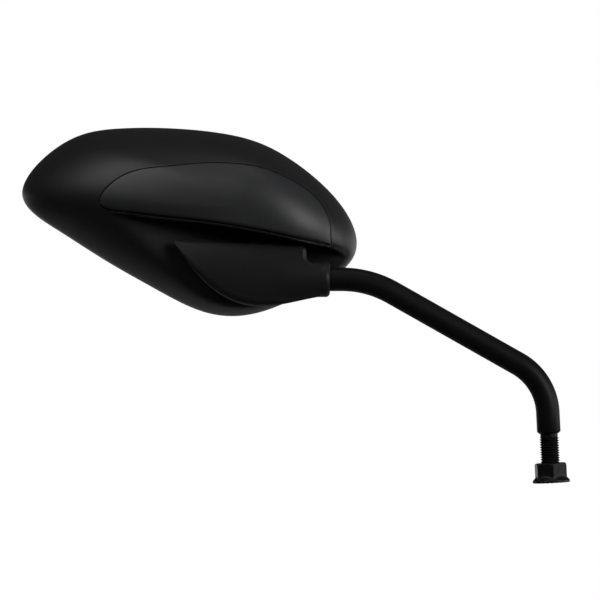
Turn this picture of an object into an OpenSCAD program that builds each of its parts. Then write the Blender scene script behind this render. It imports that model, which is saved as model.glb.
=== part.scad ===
// Right-hand motorcycle mirror: a moulded head on a ball joint, a cast stem bracket,
// a bent rod arm that ends in a threaded stud, and a serrated flange nut.
// The origin is on the stud axis, in the plane where the nut seats. Z runs up the stud,
// X towards the outside of the bend and Y from the front of the mirror to the glass.

/* [Head] */
// Width of the head
head_w = 172; // [150:1:200]
// Height of the head
head_h = 97.5; // [88:0.5:115]
// How far the crown of the shell stands ahead of the ball
crown_reach = 36; // [34:1:42]
// How far the rear rim stands behind the ball
rim_back = 22; // [21:1:28]
// Wall of the moulded shell
shell_wall = 2.4; // [1.8:0.1:3]
// Straight band of wall along the rear rim
skirt = 6; // [5:0.5:9]
// Rotation of the head about the depth axis, against the stud
head_roll = 2.9; // [-5:0.1:8]

/* [Cover panel] */
// Thickness of the cover panel
panel_t = 2.2; // [1.6:0.1:3]
// Seam between the cover panel and the shell
panel_gap = 0.4; // [0.2:0.05:0.8]
// Radius of the rolled edge of the panel
panel_edge = 1.2; // [0.5:0.1:1.8]
// Width of the shell's lip below the panel
lip_w = 1; // [0.6:0.1:2]
// Radius of the panel's fixing pins
pin_r = 2; // [1.5:0.1:2.5]

/* [Recess] */
// How far the deep end of the recess floor lies ahead of the ball
floor_ahead = 3; // [1:0.5:5]
// Run forward of the floor for each millimetre towards the head's tip
floor_slope = 0.27; // [0.22:0.01:0.34]
// How far the roof of the recess rises behind the lip
undercut = 2.6; // [1:0.1:3.4]
// Fillet between the roof and the floor of the recess
recess_fillet = 2.5; // [1:0.1:4]

/* [Glass] */
// Radius of the convex mirror
glass_radius = 1200; // [900:50:2000]
// Thickness of the mirror glass
glass_t = 2; // [1.8:0.1:3]
// Width of the seal round the glass
seal_w = 1.3; // [0.8:0.1:2]
// Thickness of the adhesive foam pad
pad_t = 1; // [0.5:0.1:1.5]
// Thickness of the glass carrier
carrier_t = 1.8; // [1.4:0.1:2.5]

/* [Ball joint] */
// Diameter of the ball
ball_d = 18; // [16:0.5:20]
// Wall of the liner round the ball
liner_t = 1; // [0.8:0.1:1.4]
// Wall of the cast socket
socket_wall = 3.2; // [2.5:0.1:4]
// Thickness of the socket's flange
flange_t = 3; // [2.5:0.1:4]
// Thickness of the clamp plate
clamp_t = 2.4; // [2:0.1:3]
// Diameter of the ball stud's shank
shank_d = 8; // [6:0.5:9]
// Wire diameter of the clamp springs
spring_wire = 0.9; // [0.7:0.1:1.1]

/* [Stem bracket] */
// Wall of the cast bracket
bracket_wall = 3; // [2.5:0.1:4]
// Outside diameter of the bracket's collar
collar_d = 18; // [17:0.5:20]
// Height of the ball above the arm
ball_rise = 11; // [9:0.5:13]
// How far the ball lies behind the arm
ball_back = 19; // [17:0.5:22]
// Distance of the ball from the arm's inner corner
ball_reach = 56.4; // [52:0.2:66]

/* [Arm and stud] */
// Diameter of the arm's rod
rod_d = 12; // [10:0.5:13]
// Distance between the two corners of the arm
corner_span = 103.4; // [80:0.2:140]
// Fall of the middle run
arm_fall = 32.4; // [15:0.2:50]
// Height of the lower corner above the nut's seat
corner_rise = 52.3; // [48:0.1:70]
// Bend radius of the inner corner
inner_bend = 52; // [30:1:60]
// Bend radius of the lower corner
lower_bend = 30; // [22:1:34]
// Thread diameter of the stud
stud_d = 9.9; // [8:0.1:11.9]
// Height of the arm's shoulder above the nut's seat
shoulder_rise = 25; // [20:0.5:30]
// Width of the nut across its flats
nut_af = 15; // [14:0.5:17]
// Height of the nut
nut_h = 10; // [8:0.5:12]
// Diameter of the nut's flange
nut_flange_d = 19; // [17:0.5:22]
// Number of serrations under the flange
serrations = 24; // [12:1:36]

/* [Hidden] */
$fn = 64;

// Running clearance between turned or moulded parts that move on each other
run_gap = 0.1;
// Gap between parts that are fixed to each other
fit_gap = 0.05;
// Overlap that a cut takes past a face
over = 1;

// Points of each outline for every control point
steps = 7;
// Control points of the head's outline, in percent of its width and height from the ball
head_points = [
    [-76.5, 32.5], [-58, 65], [-43, 69], [-24.5, 69], [-4, 65], [9, 54.5], [26, 30],
    [33, 0], [15.5, -17.5], [0, -31], [-15.5, -31.5], [-31.5, -15.5], [-45.5, -2], [-59.5, 14.5]
];
// Control points of the cover panel's outline, matched to those of the head
panel_points = [
    [-50.5, 25], [-40, 46], [-25.5, 47], [-16, 49.5], [-0.5, 48.5], [8.5, 42], [20.5, 29.5],
    [23.5, 1.5], [11.5, 10.5], [1, 14], [-8, 17], [-18.5, 19.5], [-28, 21], [-37.5, 23.5]
];
// Crown of the shell, the point from which its depth falls away
crown = [-0.05 * head_w, 0.26 * head_h];
// Fullness of the shell towards its tip and towards its root: flatter in the middle as it rises
tip_fullness = 1.9;
root_fullness = 2.9;

// The skirt starts at this depth behind the ball, and the dome springs from it
dome_base = rim_back - skirt;
dome_depth = dome_base + crown_reach;
// Depth of the shell's lip below the panel
lip_below = 1.4;
lip_t = panel_t + lip_below;
// Width of each ring where the lip turns in, and depth of its shoulder
lip_step = 0.4;
lip_shoulder = 1.5;
// Depth of the recess at which its roof is fully undercut
roof_fade = 8;
// Where the recess floor begins to run forward, and the width of its blend into the dome
floor_turn = 5;
floor_blend = 3;
// Outline stations between which the recess opens at the lobe and closes at the tip
lobe_start = 6.95;
lobe_end = 7.5;
tip_start = 13.2;

// Ball joint, measured from the centre of the ball
ball_r = ball_d / 2;
liner_in = ball_r + run_gap;
liner_out = liner_in + liner_t;
socket_in = liner_out + run_gap;
socket_out = socket_in + socket_wall;
neck_r = 3.1;
neck_len = 3.5;
neck_end = ball_r + neck_len;
hex_af = 11;
hex_t = 2.5;
boss_end = neck_end + hex_t;
socket_mouth = 7.4;
liner_mouth = 6;
flange_front = 4;
flange_back = flange_front + flange_t;
// Play between the socket's flange and the clamp plate, taken up by the springs
clamp_gap = 1.5;
clamp_front = flange_back + clamp_gap;
clamp_back = clamp_front + clamp_t;
// Distance of the screws from the ball's centre, and how far the clamp screws stand off the cup
socket_screw_reach = 20.5;
clamp_stand_off = 3;
clamp_screw_reach = socket_out + clamp_stand_off;
flange_margin = 1.5;
boss_wall = 1.3;
boss_front = 0.5;
ear_r = 4.2;
// Hub and centre hole of the clamp plate
hub_rise = 1.2;
hub_clear = 0.4;
socket_clear = 0.4;
clamp_hole_r = 4;
clamp_margin = 0.8;
screw_r = 2;
pilot_r = screw_r + fit_gap;
screw_clear = 0.4;
clear_r = screw_r + screw_clear;
screw_head_r = 3.6;
screw_head_t = 2.2;
screw_point = 1;
cross_w = 0.9;
cross_len = 3.4;
spring_r = 3;
spring_len = 4.3;
spring_turns = 3.5;
post_r = 3.8;
// Part of the shell's wall that a post is rooted in
post_root = 0.6 * shell_wall;
thread_depth = 5.5;

// Glass stack
glass_front = rim_back - 0.6;
lens_centre = [-0.205 * head_w, 0.19 * head_h];
seal_lip = 0.3;
seal_step = 0.5;
carrier_rib = 2;
// Depth of the carrier's seats ahead of the skirt, and the web that its screws clamp
carrier_drop = 3.7;
carrier_seat = dome_base - carrier_drop;
carrier_web = 1.2;
carrier_grip = 9;
carrier_boss_wall = 1.8;
pilot_depth = 10;
// Window in the carrier over the clamp, clear of its screws
window_clear = 2;
window_ledge = 0.6;
window_r = socket_screw_reach + ear_r + window_clear;
head_clear = 0.3;
pad_share = 0.86;
carrier_spots = [
    [-0.56 * head_w, 0.37 * head_h], [-0.26 * head_w, 0.57 * head_h],
    [0.17 * head_w, 0.3 * head_h], [-0.31 * head_w, 0.03 * head_h]
];
pin_spots = [
    [-0.38 * head_w, 0.31 * head_h], [-0.12 * head_w, 0.38 * head_h], [0.12 * head_w, 0.24 * head_h]
];
clip_r = 4.5;
clip_t = 0.6;
clip_slot_w = 0.6;
clip_slot_len = 6.4;
pin_seat_r = 5.2;
// How far a pin's seat stands off the shell's inside, how far the pin runs past it, and its play
seat_rise = 0.8;
pin_out = 3;
pin_clear = 0.2;

// Arm path
rod_r = rod_d / 2;
stud_r = stud_d / 2;
inner_turn = arm_fall - head_roll;
lower_turn = 90 - arm_fall;
inner_run = inner_bend * tan(inner_turn / 2);
lower_run = lower_bend * tan(lower_turn / 2);
lower_corner = [0, 0, corner_rise];
inner_corner = lower_corner + corner_span * [-cos(arm_fall), 0, sin(arm_fall)];
stub_dir = [-cos(head_roll), 0, sin(head_roll)];
stub_up = [sin(head_roll), 0, cos(head_roll)];
ball_place = inner_corner + ball_reach * stub_dir + ball_rise * stub_up + [0, ball_back, 0];
// Thread relief below the shoulder, and the bevels of the stud and the rod
relief_len = 1.8;
thread_top = shoulder_rise - relief_len;
thread_end = 1.5;
stud_root = 2;
neck_dia = stud_d - 1;
relief_run = 0.5;
shoulder_bevel = 1;
rod_bevel = 0.5;

// Stem bracket, in the head's axes from the centre of the ball
collar_r = collar_d / 2;
collar_out = 36.7;
collar_in = 9;
collar_bevel = 2;
mouth_bevel = 1.5;
rod_in = collar_in + 1;
fin_front = ball_back + collar_r;
fin_top = 8.7;
fin_notch = 24.8;
fin_tip = -42.5;
fin_crown = 44;
fin_sweep = 420;
fin_rear = 16;
// Boss for the ball stud, and the ribs beside it
stud_boss_r = 7;
shank_floor = 0.3;
shank_end = 1;
rib_run = 20;
rib_h = 6;
side_rib_run = 30;
side_rib_h = 3;
grub_spots = [15, 30];
grub_r = 2.5;
grub_sink = 0.4;
grub_floor = 1.5;

// Nut
nut_bore = stud_r + fit_gap;
flange_rim = 1.3;
flange_cone = 3.4;
serration_in = 7.2;
serration_w = 1.1;
serration_h = 0.8;
nut_mouth = 1;
nut_turn = 36.4;
serration_lean = 20;

function smooth(x) = let(u = min(max(x, 0), 1)) u * u * (3 - 2 * u);
function mix(a, b, u) = a + (b - a) * u;
function softmax(a, b, k) = (a + b + sqrt((a - b) * (a - b) + k * k)) / 2;

// Point on a closed cubic B-spline
function spline(c, t) =
    let(n = len(c), k = floor(t), f = t - k)
    (pow(1 - f, 3) * c[(k + n - 1) % n] + (3 * f * f * f - 6 * f * f + 4) * c[k % n]
    + (-3 * f * f * f + 3 * f * f + 3 * f + 1) * c[(k + 1) % n] + f * f * f * c[(k + 2) % n]) / 6;

// Closed outline from control points in percent of the head
function outline(points) =
    let(c = [for (p = points) [p.x * head_w / 100, p.y * head_h / 100]])
    [for (i = [0 : len(c) * steps - 1]) spline(c, i / steps)];

// Outline moved inwards by d, or outwards where d is negative
function inset(loop, d) =
    let(n = len(loop))
    [for (i = [0 : n - 1]) let(a = loop[(i + n - 1) % n], b = loop[(i + 1) % n], u = (b - a) / norm(b - a))
        loop[i] + d * [u.y, -u.x]];

// Distance of p from the crown, as a share of the distance to the outline on the same ray
function share(loop, p) =
    let(q = p - crown, n = len(loop))
    norm(q) < 0.01 ? 0 :
    max([for (i = [0 : n - 1])
        let(a = loop[i] - crown, e = loop[(i + 1) % n] - loop[i], d = cross(q, e))
        abs(d) < 1e-9 ? 0 : let(reach = cross(a, e) / d, along = cross(a, q) / d)
        reach > 0 && along >= 0 && along <= 1 ? 1 / reach : 0]);

// Depth coordinate of the dome's surface at p, for an outline and dome shrunk by w
function dome_y(loop, p, w) =
    let(q = p - crown, side = (1 + q.x / max(norm(q), 0.01)) / 2)
    dome_base - (dome_depth - w)
    * sqrt(max(1 - pow(min(share(loop, p), 1), mix(tip_fullness, root_fullness, side)), 0));

// Depth coordinate of the recess floor
function floor_y(p, w) = w - floor_ahead - floor_slope * max(0, floor_turn - p.x);

// Strength of the recess at outline station t
function recess(t) = smooth((t - lobe_start) / (lobe_end - lobe_start)) * (1 - smooth((t - tip_start) / 0.8));

// Surface of the shell at p, with the recess cut to strength k
function skin_y(loop, p, w, k) =
    let(d = dome_y(loop, p, w)) mix(d, softmax(d, floor_y(p, w), floor_blend), k);

// Rings of one skin from the lip out to the rim, shrunk by w
band_shares = [0.12, 0.26, 0.4, 0.55, 0.7, 0.82, 0.91, 0.965, 0.99, 1];
function band_rings(lip, edge, w) =
    let(n = len(lip),
        unit = [for (i = [0 : n - 1]) (edge[i] - lip[i]) / norm(edge[i] - lip[i])],
        cut = [for (i = [0 : n - 1]) recess(i / steps)],
        high = [for (i = [0 : n - 1]) dome_y(edge, lip[i], w)],
        low = [for (i = [0 : n - 1]) skin_y(edge, lip[i] + undercut * unit[i], w, cut[i])],
        roof = [for (i = [0 : n - 1]) smooth((low[i] - high[i]) / roof_fade)],
        ring = function(plain, under, y) [for (i = [0 : n - 1])
            let(p = lip[i] + mix(plain, under, roof[i]) * unit[i],
                free = skin_y(edge, p, w, cut[i]))
            [p.x, mix(free, y[i], roof[i]), p.y]])
    concat(
        [[for (i = [0 : n - 1]) [lip[i].x, high[i], lip[i].y]]],
        [ring(lip_step, 0, [for (y = high) y + lip_t - w])],
        [ring(2 * lip_step, -undercut, [for (y = high) y + lip_t + lip_shoulder - w])],
        [ring(3 * lip_step, -undercut, [for (y = low) y - recess_fillet])],
        [ring(5 * lip_step, recess_fillet - undercut, low)],
        [for (s = band_shares) [for (i = [0 : n - 1])
            let(p = mix(lip[i], edge[i], s)) [p.x, skin_y(edge, p, w, cut[i]), p.y]]]
    );

// Rings of a dome patch inside a loop, from the middle out, moved back by w
patch_shares = [0.22, 0.44, 0.65, 0.81, 0.93];
function patch_rings(loop, edge, w) =
    [for (s = patch_shares) [for (q = loop) let(p = mix(crown, q, s)) [p.x, dome_y(edge, p, 0) + w, p.y]]];
function dome_ring(loop, edge, w) = [for (p = loop) [p.x, dome_y(edge, p, 0) + w, p.y]];
function backwards(rings) = [for (j = [len(rings) - 1 : -1 : 0]) rings[j]];

// Depth of the seat for a panel clip, clear of the shell's inside all round the pin at p
pocket = panel_t + 3 * fit_gap;
function pin_seat(edge, p) =
    max([for (a = [0 : 45 : 315]) dome_y(edge, p + pin_seat_r * [cos(a), sin(a)], 0)])
    + pocket + shell_wall + seat_rise;

// Solid through a stack of rings, closed by a point at each end. From the ring named by fold
// onwards the faces are split the other way, so that an inner skin is parallel to its outer one.
module ring_solid(first, rings, last, fold = 1000) {
    n = len(rings[0]);
    m = len(rings);
    points = concat([first], [for (r = rings) for (p = r) p], [last]);
    end = m * n + 1;
    faces = concat(
        [for (i = [0 : n - 1]) [0, 1 + i, 1 + (i + 1) % n]],
        [for (j = [0 : m - 2]) for (i = [0 : n - 1])
            let(a = 1 + j * n + i, b = a + n, c = 1 + j * n + (i + 1) % n, d = c + n)
            j < fold ? [a, b, d] : [a, b, c]],
        [for (j = [0 : m - 2]) for (i = [0 : n - 1])
            let(a = 1 + j * n + i, b = a + n, c = 1 + j * n + (i + 1) % n, d = c + n)
            j < fold ? [a, d, c] : [b, d, c]],
        [for (i = [0 : n - 1]) [end, 1 + (m - 1) * n + (i + 1) % n, 1 + (m - 1) * n + i]]
    );
    polyhedron(points, faces, convexity = 8);
}

// Places a child that is drawn from the centre of the ball in the head's axes
module in_head() {
    translate(ball_place) rotate([0, head_roll, 0]) children();
}

// Turns a child drawn along Z so that it runs from y = a towards the glass, at p
module along_y(p, a) {
    translate([p.x, a, p.y]) rotate([-90, 0, 0]) children();
}

// Plate with the outline of a loop, between two depths
module loop_plate(loop, a, b) {
    translate([0, b, 0]) rotate([90, 0, 0]) linear_extrude(b - a) polygon(loop);
}

// Spherical cap with the mirror's curvature, its apex at y = front, solid back to y = back
module lens_cap(front, back) {
    reach = head_w * 0.6;
    bands = 8;
    profile = [for (i = [0 : bands]) let(r = reach * i / bands) [r, lens_y(front, lens_centre + [r, 0])]];
    translate([lens_centre.x, 0, lens_centre.y]) rotate([-90, 0, 0])
        rotate_extrude($fn = 180) polygon(concat([[0, back]], profile, [[reach, back]]));
}

// Slice of a loop that follows the mirror's curvature
module lens_shell(loop, front, thick) {
    base = front - thick - 2 * skirt;
    intersection() {
        loop_plate(loop, base, front + over);
        difference() {
            lens_cap(front, base - over);
            lens_cap(front - thick, base - 2 * over);
        }
    }
}

// Depth of a lens surface whose apex is at front, at point p
function lens_y(front, p) =
    front - glass_radius + sqrt(glass_radius * glass_radius - pow(norm(p - lens_centre), 2));

function spot(reach, angle) = reach * [cos(angle), sin(angle)];
function socket_spot(i) = spot(socket_screw_reach, 90 + 120 * i);
function clamp_spot(i) = spot(clamp_screw_reach, 30 + 120 * i);

// Stations along the bent rod: its centre in the XZ plane, the angle of its outer side, its radius
function arc_stations(centre, radius, start, turn, count) =
    [for (i = [0 : count]) let(a = start + turn * i / count) [centre + radius * [cos(a), sin(a)], a, rod_r]];
function rod_stations() =
    let(run = corner_span - inner_run - lower_run,
        lower = arc_stations([-lower_bend, corner_rise - lower_run], lower_bend, 0, lower_turn, 10),
        side = [cos(lower_turn), sin(lower_turn)],
        up = [-side.y, side.x],
        inner_centre = lower[10][0] + run * up - inner_bend * side,
        inner = arc_stations(inner_centre, inner_bend, lower_turn, inner_turn, 8),
        stub = ball_reach - rod_in - inner_run,
        end_turn = lower_turn + inner_turn,
        stub_way = [stub_dir.x, stub_dir.z])
    concat(
        [[[0, shoulder_rise], 0, rod_r - shoulder_bevel], [[0, shoulder_rise + shoulder_bevel], 0, rod_r]],
        lower, inner,
        [[inner[8][0] + (stub - rod_bevel) * stub_way, end_turn, rod_r],
            [inner[8][0] + stub * stub_way, end_turn, rod_r - rod_bevel]]
    );

module arm() {
    sides = 32;
    stations = rod_stations();
    rings = [for (s = stations) [for (k = [0 : sides - 1])
        let(b = 360 * k / sides, out = s[2] * cos(b))
        [s[0].x + out * cos(s[1]), s[2] * sin(b), s[0].y + out * sin(s[1])]]];
    inner_end = stations[len(stations) - 1][0];
    color("#1d1e20") {
        // Bent rod, from its bevelled shoulder up to its end in the bracket's collar
        ring_solid([0, 0, shoulder_rise], rings, [inner_end.x, 0, inner_end.y]);
        // Stud and its thread relief
        rotate_extrude() polygon([
            [0, thread_end], [stud_r - shoulder_bevel, thread_end], [stud_r, thread_end + shoulder_bevel],
            [stud_r, thread_top - relief_run], [neck_dia / 2, thread_top],
            [neck_dia / 2, shoulder_rise + stud_root], [0, shoulder_rise + stud_root]
        ]);
    }
}

// Barrel whose front is curved both ways, with its nearest point at y = front
module barrel(front, grow) {
    height = 60;
    translate([0, front + fin_sweep, -8]) rotate_extrude($fn = 180)
        intersection() {
            translate([fin_sweep - fin_crown, 0]) circle(fin_crown + grow, $fn = 96);
            translate([0, -height / 2]) square([2 * fin_sweep, height]);
        }
}

function bezier(a, b, c, d, u) =
    pow(1 - u, 3) * a + 3 * u * pow(1 - u, 2) * b + 3 * u * u * (1 - u) * c + pow(u, 3) * d;

// Outline of the bracket's fin, drawn in from its edge by d
function fin_outline(d) = concat(
    [[fin_tip + 0.4 + 1.4 * d, fin_top - d]],
    [[collar_in, fin_top - 1.9 - d], [fin_notch - 2.4 - d, 5.9 - d], [fin_notch - 0.8 - d, 5.1 - d],
        [fin_notch - d, 3.7 - d]],
    [for (u = [0 : 0.25 : 1]) bezier([fin_notch - d, 1.5], [fin_notch - d, -0.8], [fin_notch + 0.8, -2.2],
        [fin_notch + 3, -2.6], u)],
    [[collar_out - 5 - d, -2.6], [collar_out - 5 - d, -19.8]],
    [for (u = [0.25 : 0.25 : 1]) bezier([collar_out - 5 - d, -19.8 + d], [20, -21.8 + d], [12, -24.6 + d],
        [2, -24.7 + d], u)],
    [for (u = [0.1 : 0.1 : 0.9]) bezier([2, -24.7 + d], [-19 + d * 0.5, -24.5 + d], [-31 + d, -10 + d],
        [fin_tip + 1.4 * d, fin_top - 1 - d], u)]
);

module stem_bracket() {
    skin = bracket_wall;
    tip_slope = 10;
    color("#2a2b2e") in_head() difference() {
        union() {
            // Fin: a dished front with a wall all round, open towards the head
            difference() {
                intersection() {
                    loop_plate(fin_outline(0), -fin_front - over, -fin_rear);
                    barrel(-fin_front, 0);
                }
                intersection() {
                    loop_plate(fin_outline(bracket_wall), -fin_front - over, -fin_rear + over);
                    barrel(-fin_front + skin, 0);
                }
                // The wall runs out towards the tip
                translate([-stud_boss_r + 1, -fin_rear, 0]) rotate([0, 0, tip_slope])
                    translate([-60, 0, -40]) cube([60, 20, 80]);
            }
            // Collar for the arm
            translate([collar_in, -ball_back, -ball_rise]) rotate([0, 90, 0]) rotate_extrude() polygon([
                [0, -collar_bevel], [collar_r - collar_bevel, -collar_bevel], [collar_r, 0],
                [collar_r, collar_out - collar_in - mouth_bevel],
                [collar_r - mouth_bevel, collar_out - collar_in], [0, collar_out - collar_in]
            ]);
            // Boss for the ball stud, with a rib to each side
            along_y([0, 0], -fin_front + skin - over)
                cylinder(h = fin_front - skin + over - boss_end, r = stud_boss_r);
            translate([-skin / 2, -fin_front + skin - over, -rib_run]) cube([skin, rib_h, rib_run + rib_h]);
            translate([-side_rib_run, -fin_front + skin - over, -skin / 2])
                cube([side_rib_run, side_rib_h, skin]);
        }
        // Bore for the arm
        translate([rod_in - fit_gap, -ball_back, -ball_rise]) rotate([0, 90, 0])
            cylinder(h = collar_out, r = rod_r + fit_gap);
        // Bore for the ball stud's shank
        along_y([0, 0], -fin_front + skin + shank_floor) cylinder(h = fin_front, r = shank_d / 2 + fit_gap);
        // Tapped holes for the grub screws
        for (x = grub_spots) translate([x, -ball_back, -ball_rise]) rotate([-90, 0, 0])
            cylinder(h = collar_r + over, r = grub_r + fit_gap);
    }
}

// Socket set screw in the rear of the collar, number i
module grub_screw(i) {
    socket_af = 2.5;
    color("#3b3c3f") in_head()
        translate([grub_spots[i], -ball_back, -ball_rise]) rotate([-90, 0, 0]) difference() {
            translate([0, 0, rod_r + fit_gap]) cylinder(h = collar_r - rod_r - grub_sink, r = grub_r);
            translate([0, 0, rod_r + grub_floor]) cylinder(h = collar_r, r = socket_af / sqrt(3), $fn = 6);
        }
}

module ball_stud() {
    color("#8c8f93") in_head() {
        sphere(ball_r, $fn = 96);
        // Neck
        along_y([0, 0], -neck_end) cylinder(h = neck_end, r = neck_r);
        // Hexagon for the spanner
        along_y([0, 0], -boss_end) cylinder(h = hex_t, r = hex_af / sqrt(3), $fn = 6);
        // Shank in the bracket's boss
        along_y([0, 0], -fin_front + bracket_wall + shank_end)
            cylinder(h = fin_front - bracket_wall - shank_end - boss_end, r = shank_d / 2);
    }
}

module ball_liner() {
    front = sqrt(liner_in * liner_in - liner_mouth * liner_mouth);
    back = 6.5;
    color("#d9d4c4") in_head() rotate([-90, 0, 0]) rotate_extrude($fn = 96) intersection() {
        difference() {
            circle(liner_out, $fn = 96);
            circle(liner_in, $fn = 96);
        }
        translate([0, -front]) square([liner_out + over, front + back]);
    }
}

module ball_socket() {
    color("#6f7276") in_head() difference() {
        union() {
            // Cup with its flange: a dome in front, a straight barrel behind and the liner's seat inside
            rotate([-90, 0, 0]) rotate_extrude($fn = 96) union() {
                difference() {
                    intersection() {
                        circle(socket_out, $fn = 96);
                        translate([socket_mouth, -socket_out]) square([socket_out, socket_out]);
                    }
                    circle(socket_in, $fn = 96);
                }
                translate([socket_in, 0]) square([socket_wall, flange_back]);
                translate([socket_in, flange_front])
                    square([clamp_screw_reach + flange_margin - socket_in, flange_t]);
            }
            // Ears for the screws that hold the socket, and bosses for the clamp screws
            for (i = [0 : 2]) along_y(socket_spot(i), flange_front) cylinder(h = flange_t, r = ear_r);
            for (i = [0 : 2]) along_y(clamp_spot(i), boss_front)
                cylinder(h = flange_back - boss_front, r = screw_r + boss_wall);
        }
        for (i = [0 : 2]) along_y(socket_spot(i), flange_front - over)
            cylinder(h = flange_t + 2 * over, r = clear_r);
        for (i = [0 : 2]) along_y(clamp_spot(i), -over) cylinder(h = flange_back + 2 * over, r = pilot_r);
    }
}

// Pan-head screw, its head's underside at y = seat and its point towards the front
module pan_screw(p, seat, grip) {
    color("#b9bcc0") in_head() difference() {
        union() {
            along_y(p, seat) cylinder(h = screw_head_t * 0.5, r = screw_head_r);
            along_y(p, seat + screw_head_t * 0.5)
                cylinder(h = screw_head_t * 0.5, r1 = screw_head_r, r2 = screw_head_r * 0.72);
            along_y(p, seat - grip + screw_point) cylinder(h = grip - screw_point / 2, r = screw_r);
            along_y(p, seat - grip) cylinder(h = screw_point, r1 = screw_r * 0.5, r2 = screw_r);
        }
        // Cross recess
        for (a = [0, 90]) along_y(p, seat + screw_head_t * 0.45) rotate([0, 0, a])
            translate([-cross_w / 2, -cross_len / 2, 0]) cube([cross_w, cross_len, screw_head_t]);
    }
}

module socket_screw(i) {
    pan_screw(socket_spot(i), flange_back, flange_t + thread_depth - 0.5);
}

module clamp_plate() {
    color("#9a9da1") in_head() difference() {
        union() {
            along_y([0, 0], clamp_front) cylinder(h = clamp_t, r = socket_out);
            for (i = [0 : 2]) along_y(clamp_spot(i), clamp_front)
                cylinder(h = clamp_t, r = screw_head_r + clamp_margin);
            // Hub that bears on the liner
            along_y([0, 0], flange_front + hub_rise)
                cylinder(h = clamp_front - flange_front, r = socket_in - hub_clear);
        }
        sphere(liner_out + fit_gap, $fn = 96);
        along_y([0, 0], 0) cylinder(h = clamp_back + over, r = clamp_hole_r);
        for (i = [0 : 2]) along_y(clamp_spot(i), clamp_front - over)
            cylinder(h = clamp_t + 2 * over, r = clear_r);
    }
}

module clamp_screw(i) {
    seat = clamp_back + spring_len + 2 * fit_gap;
    pan_screw(clamp_spot(i), seat, seat - 1);
}

// Compression spring under a clamp screw's head
module clamp_spring(i) {
    sides = 6;
    per_turn = 10;
    rings = spring_turns * per_turn;
    wire_r = spring_wire / 2;
    rise = spring_len - spring_wire;
    points = [for (j = [0 : rings]) for (k = [0 : sides - 1])
        let(a = 360 * j / per_turn, b = 360 * k / sides, r = spring_r + wire_r * cos(b))
        [r * cos(a), r * sin(a), wire_r + rise * j / rings + wire_r * sin(b)]];
    faces = concat(
        [[for (k = [0 : sides - 1]) k]],
        [for (j = [0 : rings - 1]) for (k = [0 : sides - 1])
            let(a = j * sides, b = a + sides, l = (k + 1) % sides)
            [a + k, b + k, b + l, a + l]],
        [[for (k = [sides - 1 : -1 : 0]) rings * sides + k]]
    );
    color("#c7c9cc") in_head() along_y(clamp_spot(i), clamp_back + fit_gap)
        polyhedron(points, faces, convexity = 6);
}

// Post on the inside of the shell, from its wall at p back to y = top, sunk behind the panel's pocket
module post(edge, p, top, r, cut, sunk) {
    around = [for (a = [0 : 45 : 315]) skin_y(edge, p + r * [cos(a), sin(a)], 0, cut)];
    start = max(around) + sunk + shell_wall - post_root;
    along_y(p, start) cylinder(h = top - start, r = r, $fn = 32);
}

module housing() {
    edge = outline(head_points);
    loop = outline(panel_points);
    seam = inset(loop, -panel_gap);
    lip = inset(seam, -lip_w);
    inner_edge = inset(edge, shell_wall);
    inner_lip = inset(lip, shell_wall * 0.6);
    outer = band_rings(lip, edge, 0);
    inner = band_rings(inner_lip, inner_edge, shell_wall);
    rim = [for (p = edge) [p.x, rim_back, p.y]];
    inner_rim = [for (p = inner_edge) [p.x, rim_back, p.y]];
    rings = concat(
        patch_rings(loop, edge, pocket), [dome_ring(seam, edge, pocket)], [dome_ring(seam, edge, 0)],
        outer, [rim], [inner_rim], backwards(inner),
        [dome_ring(inner_lip, edge, pocket + shell_wall)],
        backwards(patch_rings(loop, edge, pocket + shell_wall))
    );
    color("#17181a") in_head() difference() {
        union() {
            ring_solid([crown.x, -crown_reach + pocket, crown.y], rings,
                [crown.x, -crown_reach + pocket + shell_wall, crown.y], len(rings) / 2);
            for (i = [0 : 3]) post(edge, carrier_spots[i], carrier_seat, post_r, 0, i == 2 ? pocket : 0);
            for (p = pin_spots) post(edge, p, pin_seat(edge, p), pin_seat_r, 0, pocket);
            post(edge, socket_spot(0), flange_front, ear_r, 0, pocket);
            for (i = [1, 2]) post(edge, socket_spot(i), flange_front, ear_r, 1, 0);
        }
        // Opening in the recess floor for the socket
        along_y([0, 0], -crown_reach / 2)
            cylinder(h = crown_reach / 2 + flange_front, r = socket_out + socket_clear);
        for (p = carrier_spots) along_y(p, carrier_seat - pilot_depth)
            cylinder(h = pilot_depth + over, r = pilot_r);
        for (i = [0 : 2]) along_y(socket_spot(i), flange_front - thread_depth)
            cylinder(h = thread_depth + over, r = pilot_r);
        for (p = pin_spots) along_y(p, dome_y(edge, p, 0)) cylinder(h = crown_reach, r = pin_r + pin_clear);
    }
}

module cover_panel() {
    edge = outline(head_points);
    loop = outline(panel_points);
    roll = [for (a = [0, 30, 60, 90]) dome_ring(inset(loop, panel_edge * (1 - sin(a))), edge,
        panel_edge * (1 - cos(a)))];
    color("#2b2c2f") in_head() {
        ring_solid([crown.x, -crown_reach, crown.y],
            concat(patch_rings(inset(loop, panel_edge), edge, 0), roll, [dome_ring(loop, edge, panel_t)],
                backwards(patch_rings(loop, edge, panel_t))),
            [crown.x, -crown_reach + panel_t, crown.y], len(patch_shares) + len(roll));
        for (p = pin_spots) along_y(p, dome_y(edge, p, 0) + panel_t / 2)
            cylinder(h = pin_seat(edge, p) + pin_out - dome_y(edge, p, 0) - panel_t / 2, r = pin_r, $fn = 32);
    }
}

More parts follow.
